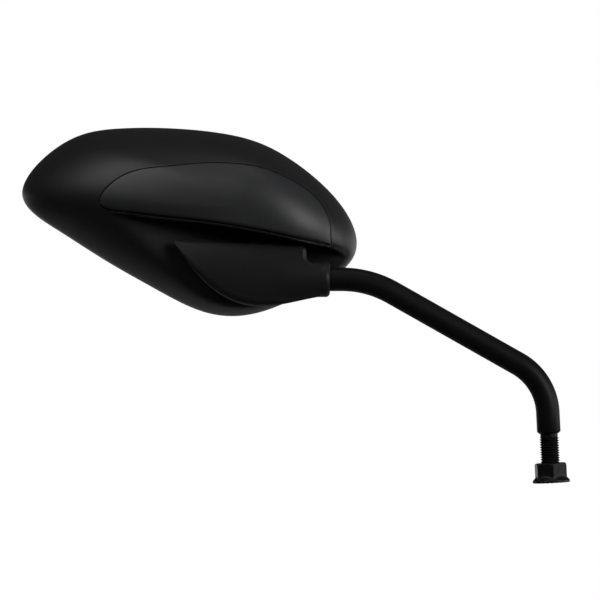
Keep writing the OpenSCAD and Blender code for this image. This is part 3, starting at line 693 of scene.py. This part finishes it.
class MIRROR_OT_cover_panel(bpy.types.Operator):
    """Inset cover panel with its rolled edge"""

    bl_idname = "mirror.cover_panel"
    bl_label = "Cover panel"

    def execute(self, context):
        # The roll is eleven times as wide along the lower side
        below = smooth((-directions(LOOP)[:, 0] - 0.3) / 0.6)
        radius = context.scene.mirror_sizes.panel_roll * 1000 * (1 + 10 * below)
        inner = inset(LOOP, radius)
        rings = []
        for s in (*np.linspace(0.04, 0.9, 26), 0.94, 0.97, 1):
            p = mix(CROWN, inner, s)
            rings.append(with_depth(p, dome(p)))
        fall = np.minimum(radius, PANEL_T - 0.3)
        for a in quarter(9)[1:]:
            p = inset(LOOP, radius * (1 - math.sin(a)))
            rings.append(with_depth(p, dome(p) + fall * (1 - math.cos(a))))
        for p in (LOOP, inset(LOOP, 2)):
            rings.append(with_depth(p, dome(p) + PANEL_T))
        surface = Surface()
        surface.loft(rings, in_head, first=[CROWN[0], 0.01 - CROWN_REACH, CROWN[1]])
        obj = surface.piece("front_panel", material("panel"), 50)
        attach(obj, "head")
        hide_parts("cover_panel")
        return {"FINISHED"}


class MIRROR_OT_glass(bpy.types.Operator):
    """Convex mirror glass with a ground edge, and the rubber seal round it"""

    bl_idname = "mirror.glass"
    bl_label = "Glass and seal"

    def execute(self, context):
        bend = context.scene.mirror_sizes.glass_radius * 1000
        edge = inset(EDGE, SHELL_WALL + SEAL_W)
        middle = edge.mean(axis=0)

        def lens(p):
            return GLASS_FRONT - bend + np.sqrt(bend * bend - ((p - LENS_CENTRE) ** 2).sum(axis=1))

        inner = inset(edge, GLASS_BEVEL)
        rings = []
        for s in np.linspace(0.05, 1, 20):
            p = mix(middle, inner, s)
            rings.append(with_depth(p, lens(p)))
        for p, fall in ((edge, GLASS_BEVEL * 0.6), (edge, GLASS_T), (inset(edge, 3), GLASS_T)):
            rings.append(with_depth(p, lens(p) - fall))
        surface = Surface()
        top = [middle[0], lens(middle[None, :])[0], middle[1]]
        surface.loft(rings, in_head, first=top, flip=True)
        obj = surface.piece("mirror_lens", material("glass"), 25)
        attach(obj, "head")
        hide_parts("mirror_glass")

        # Seal: a round lip between the rim and the glass, with its foot down in the shell
        outer = inset(EDGE, SHELL_WALL + 0.05)
        rings = [with_depth(outer, DOME_BASE + 0.5)]
        for a in np.linspace(0, math.pi, 9):
            p = inset(outer, 0.15 + (SEAL_W - 0.05) / 2 * (1 - math.cos(a)))
            rings.append(with_depth(p, RIM_BACK - 1.0 + 0.7 * math.sin(a)))
        rings.append(with_depth(inset(outer, SEAL_W), DOME_BASE + 0.5))
        surface = Surface()
        surface.loft(rings, in_head)
        obj = surface.piece("lens_seal", material("rubber"), 50)
        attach(obj, "head")
        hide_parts("glass_seal")
        return {"FINISHED"}


# Bracket, arm and nut


def fin_outline():
    """Outline of the bracket's fin, evenly spaced, with its corners eased."""
    collar_end = COLLAR_OUT - 5
    loop = np.concatenate([
        [(FIN_TIP + 0.4, FIN_TOP), (COLLAR_IN, FIN_TOP - 1.9)],
        [(FIN_NOTCH - 2.4, 5.9), (FIN_NOTCH - 0.8, 5.1), (FIN_NOTCH, 3.7)],
        bezier((FIN_NOTCH, 1.5), (FIN_NOTCH, -0.8), (FIN_NOTCH + 0.8, -2.2), (FIN_NOTCH + 3, -2.6), 12),
        [(FIN_NOTCH + 3, -2.6), (collar_end, -2.9), (collar_end + 0.6, -11)],
        bezier((collar_end, -19.8), (20, -21.8), (12, -24.6), (2, -24.7), 24),
        bezier((2, -24.7), (-19, -24.5), (-31, -10), (FIN_TIP, FIN_TOP - 1), 60),
    ])
    closed = np.vstack([loop, loop[:1]])
    run = np.r_[0, np.cumsum(np.linalg.norm(np.diff(closed, axis=0), axis=1))]
    t = np.linspace(0, run[-1], 520, endpoint=False)
    even = np.stack([np.interp(t, run, closed[:, 0]), np.interp(t, run, closed[:, 1])], 1)
    for _ in range(5):
        even = softened(even)
    return even


def fin_front(p):
    """Depth of the bracket's front: a barrel that runs smoothly into the collar."""
    x, z = p[:, 0], p[:, 1]
    radial = FIN_SWEEP - FIN_CROWN + np.sqrt(np.maximum(FIN_CROWN**2 - (z - FIN_MIDDLE) ** 2, 1))
    barrel = -FIN_FRONT + FIN_SWEEP - np.sqrt(np.maximum(radial**2 - x**2, 1))
    tube = -BALL_BACK - np.sqrt(np.maximum(COLLAR_R**2 - (z + BALL_RISE) ** 2, 0))
    tube = tube + COLLAR_FADE * (1 - smooth((x - COLLAR_FADE_START) / COLLAR_FADE_RUN))
    return softmin(barrel, tube, COLLAR_BLEND) + FIN_SINK


def fin_rings(radius):
    """Rings from the fin's middle over its front, round its edge and back into its dished rear."""
    loop = fin_outline()
    x, from_tip = loop[:, 0], loop[:, 0] - FIN_TIP
    rear = FIN_REAR - np.maximum(0, FIN_REAR_TURN - x) * FIN_REAR_SLOPE
    # The rings spread from a spine that falls from near the tip's top to the collar's height
    spine_x = np.clip(x, FIN_TIP + 6, 28)
    spine_z = mix(FIN_TOP - 4, -10, smooth((spine_x - FIN_TIP) / 50))
    spine = np.stack([spine_x, spine_z], 1)
    # Wider roll round the notch and along the lower side, none where the fin runs into the collar
    below = smooth((-directions(loop)[:, 0] - 0.35) / 0.5) * (1 - smooth((x - 4) / 14))
    notch = smooth(1 - (np.hypot(x - FIN_NOTCH - 0.5, loop[:, 1] - 0.5) - 3) / 4)
    collar = smooth((x - FIN_NOTCH - 3) / 3)
    roll = radius * (1 + 0.9 * notch + 2.6 * below) * (1 - collar) + 0.02
    inner = inset(loop, np.minimum(roll, from_tip * 0.25 + 0.15))
    room = np.linalg.norm(inner - loop, axis=1)
    # Front and the roll of its edge
    rings = []
    for s in (*np.linspace(0, 0.9, 20), 0.95, 1):
        p = mix(spine, inner, s)
        rings.append(with_depth(p, fin_front(p)))
    edge_y = fin_front(inner)
    for a in quarter(11)[1:]:
        rings.append(with_depth(mix(inner, loop, math.sin(a)), edge_y + room * (1 - math.cos(a))))
    # Flat rear edge, and the tray inside it
    back = np.maximum(rear, edge_y + room + 0.1)
    lip = inset(loop, np.minimum(FIN_WALL, from_tip * 0.3 + 0.1))
    tray = np.minimum(fin_front(lip) + FIN_WALL, back)
    rings += [with_depth(loop, back), with_depth(lip, back), with_depth(lip, tray)]
    for s in (0.7, 0.4, 0.05):
        p = mix(spine, lip, s)
        rings.append(with_depth(p, np.minimum(fin_front(p) + FIN_WALL, back)))
    return rings


def collar_profile():
    """Radius and place along the collar, from its round cap to the eased end in which the rod stands."""
    profile = [(0.01, COLLAR_IN - COLLAR_CAP)]
    for a in np.linspace(0.15, math.pi / 2, 8):
        profile.append((COLLAR_R * math.sin(a), COLLAR_IN - COLLAR_CAP * math.cos(a)))
    for a in quarter(9):
        radius = COLLAR_R - COLLAR_ROUND * (1 - math.cos(a))
        profile.append((radius, COLLAR_OUT - COLLAR_ROUND + COLLAR_ROUND * math.sin(a)))
    bore = ROD_R + 0.05
    return profile + [(bore + 0.2, COLLAR_OUT), (bore, COLLAR_OUT - 0.3), (bore, COLLAR_OUT - 6)]


class MIRROR_OT_bracket(bpy.types.Operator):
    """Cast stem bracket: a dished fin with a collar for the arm and a boss for the ball stud"""

    bl_idname = "mirror.bracket"
    bl_label = "Stem bracket"

    def execute(self, context):
        surface = Surface()
        surface.loft(fin_rings(context.scene.mirror_sizes.fin_edge * 1000), in_head)
        surface.revolve(collar_profile(), along_collar, 120, flip=True)
        surface.revolve(BOSS, along_ball_stud, 72)
        obj = surface.piece("stem_casting", material("cast"), 50)
        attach(obj, "arm")
        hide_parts("stem_bracket")
        return {"FINISHED"}


def rod_stations():
    """Centre, angle of the outer side and radius at stations along the bent rod."""

    def arc(centre, radius, start, turn, count):
        return [
            (centre + radius * np.array([math.cos(a), math.sin(a)]), a, ROD_R)
            for a in start + turn * np.linspace(0, 1, count + 1)
        ]

    run = CORNER_SPAN - INNER_RUN - LOWER_RUN
    lower = arc(np.array([-LOWER_BEND, CORNER_RISE - LOWER_RUN]), LOWER_BEND, 0, LOWER_TURN, 40)
    side = np.array([math.cos(LOWER_TURN), math.sin(LOWER_TURN)])
    up = np.array([-side[1], side[0]])
    inner = arc(lower[-1][0] + run * up - INNER_BEND * side, INNER_BEND, LOWER_TURN, INNER_TURN, 32)
    stub = BALL_REACH - COLLAR_IN - 1 - INNER_RUN
    turn = LOWER_TURN + INNER_TURN
    shoulder = (
        (STUD_R - 0.6, 0), (ROD_R - SHOULDER_BEVEL - 0.15, 0), (ROD_R - SHOULDER_BEVEL, 0.05),
        (ROD_R - 0.1, SHOULDER_BEVEL - 0.1), (ROD_R, SHOULDER_BEVEL + 0.1),
    )
    low = [(np.array([0, SHOULDER_RISE + h]), 0, r) for r, h in shoulder]
    end = [(inner[-1][0] + stub * STUB_DIR, turn, ROD_R)]
    return low + lower + inner + end


def rod_rings(around):
    """Rings square to the bent rod at its stations."""
    rings = []
    for centre, angle, radius in rod_stations():
        out = radius * np.cos(around)
        x, z = centre[0] + out * math.cos(angle), centre[1] + out * math.sin(angle)
        rings.append(np.stack([x, radius * np.sin(around), z], 1))
    return rings


def thread_rings(around, pitch):
    """Rings up the stud: a helical thread with flat crests that fades into the relief neck."""
    rings = []
    fade = SHOULDER_RISE - NECK_H
    for h in np.linspace(STUD_LOW, SHOULDER_RISE, int((SHOULDER_RISE - STUD_LOW) / pitch * 16)):
        turn = (h / pitch - around / (2 * math.pi)) % 1
        tooth = np.clip((np.abs(turn - 0.5) * 2 - 0.08) / 0.8, 0, 1)
        r = STUD_R - 0.02 - THREAD_DEPTH * pitch * (1 - tooth)
        r = mix(r, NECK_R, smooth((h - fade + 0.5) / 0.6))
        rings.append(ring_about_z(around, np.minimum(r, STUD_R - 1 + (h - STUD_LOW)), h))
    return rings


class MIRROR_OT_arm(bpy.types.Operator):
    """Bent rod arm with its relief neck and threaded stud"""

    bl_idname = "mirror.arm"
    bl_label = "Arm and stud"

    def execute(self, context):
        around = circle(80)
        surface = Surface()
        surface.loft(rod_rings(around), in_row, flip=True)
        threads = thread_rings(around, context.scene.mirror_sizes.thread_pitch * 1000)
        surface.loft(threads, in_row, first=[0, 0, STUD_LOW])
        obj = surface.piece("arm_bar", material("rod"), 35)
        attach(obj, "arm")
        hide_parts("arm")
        return {"FINISHED"}


def flange_radius(h):
    """Radius of the nut's flange at height h: a rim with an eased top, then a cone up to the hexagon."""
    if h < NUT_RIM:
        return NUT_FLANGE_R - NUT_EASE * smooth(1 - (NUT_RIM - h) / 0.3)
    return NUT_FLANGE_R - (h - NUT_RIM) / (NUT_CONE - NUT_RIM) * (NUT_FLANGE_R - NUT_AF / 2) - NUT_EASE


def nut_rings(turn):
    """Rings from the nut's bore over its serrated seat, its flange and its hexagon into the bore again."""
    around = circle(288)
    flat = (around - turn + math.pi / 6) % (math.pi / 3) - math.pi / 6
    hexagon = NUT_AF / 2 / np.cos(flat)
    groove = 1 - smooth(np.abs((around * SERRATIONS / (2 * math.pi)) % 1 - 0.5) * 6 - 0.6)
    rings = [ring_about_z(around, r, 0.0) for r in (NUT_BORE_R + 0.6, 7.0)]
    rings += [ring_about_z(around, r, SERRATION_DEPTH * groove) for r in (7.3, 8.2, NUT_FLANGE_R - 0.3)]
    rings.append(ring_about_z(around, NUT_FLANGE_R, 0.35 + 0.1 * groove))
    flange = np.linspace(0.5, 4.2, 30)
    flats = np.linspace(4.4, NUT_H - 1.6, 8)
    crown = np.linspace(NUT_H - 1.5, NUT_H, 22)
    for h in (*flange, *flats, *crown):
        chamfer = NUT_AF / 2 - 0.15 + (NUT_H - h) * 1.75
        r = softmax(softmin(hexagon, chamfer, 0.12), flange_radius(h), 0.3)
        rings.append(ring_about_z(around, np.minimum(r, NUT_FLANGE_R), h))
    # Countersink, and the bore down to where the stud fills it
    for wider, fall in ((0.9, 0.0), (0.0, 0.8), (0.0, 4.0)):
        rings.append(ring_about_z(around, NUT_BORE_R + wider, NUT_H - fall))
    return rings


class MIRROR_OT_nut(bpy.types.Operator):
    """Flange nut with a chamfered hexagon and a serrated seat"""

    bl_idname = "mirror.nut"
    bl_label = "Flange nut"

    def execute(self, context):
        surface = Surface()
        surface.loft(nut_rings(math.radians(context.scene.mirror_sizes.nut_turn)), in_row)
        obj = surface.piece("seat_nut", material("nut"), 28)
        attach(obj, "nut")
        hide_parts("flange_nut")
        return {"FINISHED"}


class MIRROR_OT_inner_finishes(bpy.types.Operator):
    """Finishes of the ball joint, the fasteners and the parts behind the glass"""

    bl_idname = "mirror.inner_finishes"
    bl_label = "Joint and fasteners"

    def execute(self, context):
        kinds = {
            "grub_screw": "dark_steel", "ball_stud": "steel", "ball_liner": "nylon", "ball_socket": "alloy",
            "socket_screw": "steel", "clamp_plate": "steel", "clamp_screw": "steel", "clamp_spring": "steel",
            "panel_clip": "steel", "carrier_screw": "steel", "glass_carrier": "carrier",
            "adhesive_pad": "foam",
        }
        for name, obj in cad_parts.items():
            for start, kind in kinds.items():
                if name.startswith(start):
                    obj.data.materials.clear()
                    obj.data.materials.append(material(kind))
        return {"FINISHED"}


# Studio


def add_camera(scene, focal):
    """Long lens that looks along +Y at the photograph's frame, rolled as the photograph is."""
    cam = bpy.data.cameras.new("Camera")
    cam.sensor_width = SENSOR_W
    cam.lens = focal
    cam.clip_start, cam.clip_end = 0.1, 50
    obj = bpy.data.objects.new("Camera", cam)
    scene.collection.objects.link(obj)
    distance = FRAME_W / 2 / (SENSOR_W / 2 / focal)
    look = Matrix.Rotation(math.pi / 2, 4, "X")
    roll = Matrix.Rotation(HEAD_ROLL, 4, "Y")
    obj.matrix_world = Matrix.Translation(FRAME_CENTRE - Vector((0, distance, 0))) @ roll @ look
    scene.camera = obj


def floor_paint(drop):
    """Pale paint, white to the camera far from the object, and behind it in reflections too. To bounce and
    reflection rays it is painted dark under and in front of the object, a painted shade that darkens the
    head's underside.
    """
    paint = bpy.data.materials.new("Pale Floor")
    paint.use_nodes = True
    tree = paint.node_tree
    shader = tree.nodes["Principled BSDF"]
    shader.inputs["Roughness"].default_value = 0.9
    shader.inputs["Specular IOR Level"].default_value = 0.1
    rays = node(tree, "ShaderNodeLightPath").outputs
    spot = node(tree, "ShaderNodeNewGeometry").outputs["Position"]
    y = node(tree, "ShaderNodeSeparateXYZ", {0: spot}).outputs["Y"]
    # Pale to the camera and behind the object. To other rays it is painted dark grey under and in front of
    # the object, a painted shade that the head's underside mirrors and takes its bounce from.
    pale_outside_painted_shade = maths(tree, "MAXIMUM", ramp(tree, y, 0.0, 0.35), rays["Is Camera Ray"])
    tree.links.new(mixed(tree, pale_outside_painted_shade, (0.2, 0.2, 0.2, 1), (0.8, 0.8, 0.8, 1)), shader.inputs["Base Color"])
    away = node(tree, "ShaderNodeVectorMath", {0: spot, 1: (-0.1, 0, -drop)}, operation="DISTANCE")
    far = ramp(tree, away.outputs["Value"], 0.25, 1.1)
    shiny = maths(tree, "MULTIPLY", ramp(tree, y, 0.9, 2.6), rays["Is Glossy Ray"])
    seen = maths(tree, "MAXIMUM", rays["Is Camera Ray"], rays["Is Transmission Ray"])
    lit = maths(tree, "MULTIPLY", far, maths(tree, "MAXIMUM", shiny, seen))
    white = node(tree, "ShaderNodeEmission", {"Color": WHITE, "Strength": 1.0})
    blend = node(tree, "ShaderNodeMixShader", {0: lit, 1: shader.outputs[0], 2: white.outputs[0]})
    tree.links.new(blend.outputs[0], tree.nodes["Material Output"].inputs["Surface"])
    return paint


def add_floor(scene, drop):
    """Wide level floor below the stud."""
    mesh = bpy.data.meshes.new("floor")
    corners = [(-1, -1), (1, -1), (1, 1), (-1, 1)]
    mesh.from_pydata([(FLOOR_REACH * x, FLOOR_REACH * y, -drop) for x, y in corners], [], [(0, 1, 2, 3)])
    floor = bpy.data.objects.new("floor", mesh)
    scene.collection.objects.link(floor)
    mesh.materials.append(floor_paint(drop))


def add_surround(scene, strength, dark_side):
    """World: white to the camera and through glass, and a soft light on the object. In reflections
    it is white behind the object, near the horizon, and dark elsewhere, like a lit backdrop."""
    world = bpy.data.worlds.new("Surround")
    scene.world = world
    world.use_nodes = True
    tree = world.node_tree
    rays = node(tree, "ShaderNodeLightPath").outputs
    way = node(tree, "ShaderNodeSeparateXYZ", {0: node(tree, "ShaderNodeTexCoord").outputs["Generated"]})
    rear = ramp(tree, way.outputs["Y"], 0.5, 0.9)
    low = ramp(tree, way.outputs["Z"], 0.0, 0.16, 1.0, 0.0)
    mirrored = ramp(tree, maths(tree, "MULTIPLY", rear, low), start=dark_side)
    soft = ramp(tree, rays["Is Glossy Ray"], start=strength, end=mirrored)
    seen = maths(tree, "MAXIMUM", rays["Is Camera Ray"], rays["Is Transmission Ray"])
    back = tree.nodes["Background"]
    back.inputs["Color"].default_value = WHITE
    tree.links.new(ramp(tree, seen, start=soft), back.inputs["Strength"])


def soft_box(name, around, up, size, power):
    """Rectangular lamp that faces the head from a direction: degrees to its right and upwards."""
    a, e = math.radians(around), math.radians(up)
    way = Vector((math.sin(a) * math.cos(e), -math.cos(a) * math.cos(e), math.sin(e)))
    lamp = bpy.data.lights.new(name, "AREA")
    lamp.shape = "RECTANGLE"
    lamp.size, lamp.size_y = size
    lamp.energy = power
    lamp.spread = LAMP_SPREAD
    obj = bpy.data.objects.new(name, lamp)
    bpy.context.collection.objects.link(obj)
    obj.location = LAMP_AIM + way * LAMP_DISTANCE
    obj.rotation_mode = "QUATERNION"
    obj.rotation_quaternion = (-way).to_track_quat("-Z", "Y")
    obj.visible_camera = False


class MIRROR_OT_stage(bpy.types.Operator):
    """Camera at the photograph's angle, pale floor, white surround and soft lamps"""

    bl_idname = "mirror.stage"
    bl_label = "Studio"

    def execute(self, context):
        scene, stage = context.scene, context.scene.mirror_stage
        add_camera(scene, stage.lens)
        add_floor(scene, stage.floor_drop)
        add_surround(scene, stage.surround, stage.dark_side)
        # Soft boxes: high on the left, low and wide on the right, beside the root, and overhead
        soft_box("key_box", -38, 42, (0.95, 0.7), stage.key)
        soft_box("side_box", 55, 12, (0.95, 0.6), stage.side)
        soft_box("rim_box", 98, -3, (0.8, 0.8), stage.rim)
        soft_box("top_box", 50, 74, (0.6, 0.6), stage.top)
        scene.view_settings.view_transform = "Standard"
        return {"FINISHED"}


# Settings and sidebar


class MirrorSizes(bpy.types.PropertyGroup):
    """Sizes of the details that the looks add."""

    seam: FloatProperty(
        name="Seam", description="Gap between the cover panel and the shell",
        default=0.0003, min=0.0, unit="LENGTH",
    )
    panel_roll: FloatProperty(
        name="Panel roll", description="Radius of the panel's rolled edge at the top",
        default=0.00018, min=0.0001, unit="LENGTH",
    )
    fin_edge: FloatProperty(
        name="Fin edge", description="Radius along the edge of the bracket's fin",
        default=0.0013, min=0.0001, unit="LENGTH",
    )
    thread_pitch: FloatProperty(
        name="Thread pitch", description="Pitch of the stud's thread",
        default=0.00125, min=0.0005, unit="LENGTH",
    )
    glass_radius: FloatProperty(
        name="Glass radius", description="Radius of the convex mirror",
        default=1.2, min=0.4, unit="LENGTH",
    )
    nut_turn: FloatProperty(
        name="Nut turn", description="How far the nut is turned on its stud, in degrees", default=6.4,
    )


class MirrorFinishes(bpy.types.PropertyGroup):
    """Colours and gloss of the finishes."""

    shell: FloatVectorProperty(
        name="Shell", description="Colour of the moulded shell",
        default=(0.0072, 0.0072, 0.0074), subtype="COLOR", min=0, max=1,
    )
    panel: FloatVectorProperty(
        name="Panel", description="Colour of the cover panel",
        default=(0.0085, 0.0088, 0.0096), subtype="COLOR", min=0, max=1,
    )
    bracket: FloatVectorProperty(
        name="Bracket", description="Colour of the cast bracket",
        default=(0.0078, 0.0079, 0.0083), subtype="COLOR", min=0, max=1,
    )
    rod: FloatVectorProperty(
        name="Rod", description="Colour of the arm",
        default=(0.0030, 0.0030, 0.0031), subtype="COLOR", min=0, max=1,
    )
    nut: FloatVectorProperty(
        name="Nut", description="Colour of the nut",
        default=(0.0030, 0.0030, 0.0031), subtype="COLOR", min=0, max=1,
    )
    shell_gloss: FloatProperty(
        name="Shell gloss", description="Strength of the shell's reflection", default=0.16, min=0, max=1,
    )
    panel_gloss: FloatProperty(
        name="Panel gloss", description="Strength of the panel's reflection", default=0.30, min=0, max=1,
    )
    bracket_gloss: FloatProperty(
        name="Bracket gloss", description="Strength of the bracket's reflection", default=0.09, min=0, max=1,
    )
    rod_gloss: FloatProperty(
        name="Rod gloss", description="Strength of the arm's reflection", default=0.075, min=0, max=1,
    )
    nut_gloss: FloatProperty(
        name="Nut gloss", description="Strength of the nut's reflection", default=0.13, min=0, max=1,
    )


class MirrorStage(bpy.types.PropertyGroup):
    """Camera, lamps and surround."""

    lens: FloatProperty(
        name="Lens", description="Focal length of the camera",
        default=300.0, min=35, subtype="DISTANCE_CAMERA",
    )
    floor_drop: FloatProperty(
        name="Floor drop", description="How far the floor lies below the nut's seat",
        default=0.28, min=0, unit="LENGTH",
    )
    key: FloatProperty(
        name="Key", description="Power of the key soft box", default=1.5, min=0, unit="POWER",
    )
    side: FloatProperty(
        name="Side", description="Power of the side soft box", default=1.95, min=0, unit="POWER",
    )
    rim: FloatProperty(
        name="Rim", description="Power of the soft box at the far right", default=0.95, min=0, unit="POWER",
    )
    top: FloatProperty(
        name="Top", description="Power of the overhead soft box", default=0.25, min=0, unit="POWER",
    )
    surround: FloatProperty(
        name="Surround", description="Strength of the surround's soft light", default=0.06, min=0,
    )
    dark_side: FloatProperty(
        name="Dark side", description="Strength of the surround in reflections, away from the backdrop",
        default=0.06, min=0,
    )


class MIRROR_PT_looks(bpy.types.Panel):
    """Sidebar panel with the mirror's sizes, finishes and studio"""

    bl_idname = "MIRROR_PT_looks"
    bl_label = "Motorcycle Mirror"
    bl_space_type = "VIEW_3D"
    bl_region_type = "UI"
    bl_category = "Mirror"

    def draw(self, context):
        for label, owner in (
            ("Sizes", context.scene.mirror_sizes),
            ("Finishes", context.scene.mirror_finishes),
            ("Studio", context.scene.mirror_stage),
        ):
            box = self.layout.box()
            box.label(text=label)
            for key in owner.__annotations__:
                box.prop(owner, key)
        column = self.layout.column(align=True)
        for maker in OPERATORS:
            column.operator(maker.bl_idname)


OPERATORS = (
    MIRROR_OT_stage, MIRROR_OT_shell, MIRROR_OT_cover_panel, MIRROR_OT_glass, MIRROR_OT_bracket,
    MIRROR_OT_arm, MIRROR_OT_nut, MIRROR_OT_inner_finishes,
)
CLASSES = (MirrorSizes, MirrorFinishes, MirrorStage, *OPERATORS, MIRROR_PT_looks)


def register():
    """Adds the classes and the scene's settings."""
    for item in CLASSES:
        bpy.utils.register_class(item)
    bpy.types.Scene.mirror_sizes = PointerProperty(type=MirrorSizes)
    bpy.types.Scene.mirror_finishes = PointerProperty(type=MirrorFinishes)
    bpy.types.Scene.mirror_stage = PointerProperty(type=MirrorStage)


def unregister():
    """Takes the classes and the scene's settings away."""
    del bpy.types.Scene.mirror_stage
    del bpy.types.Scene.mirror_finishes
    del bpy.types.Scene.mirror_sizes
    for item in reversed(CLASSES):
        bpy.utils.unregister_class(item)


def main():
    """Builds every piece and the studio."""
    register()
    for maker in OPERATORS:
        area, word = maker.bl_idname.split(".")
        getattr(getattr(bpy.ops, area), word)()


if __name__ == "__main__":
    main()
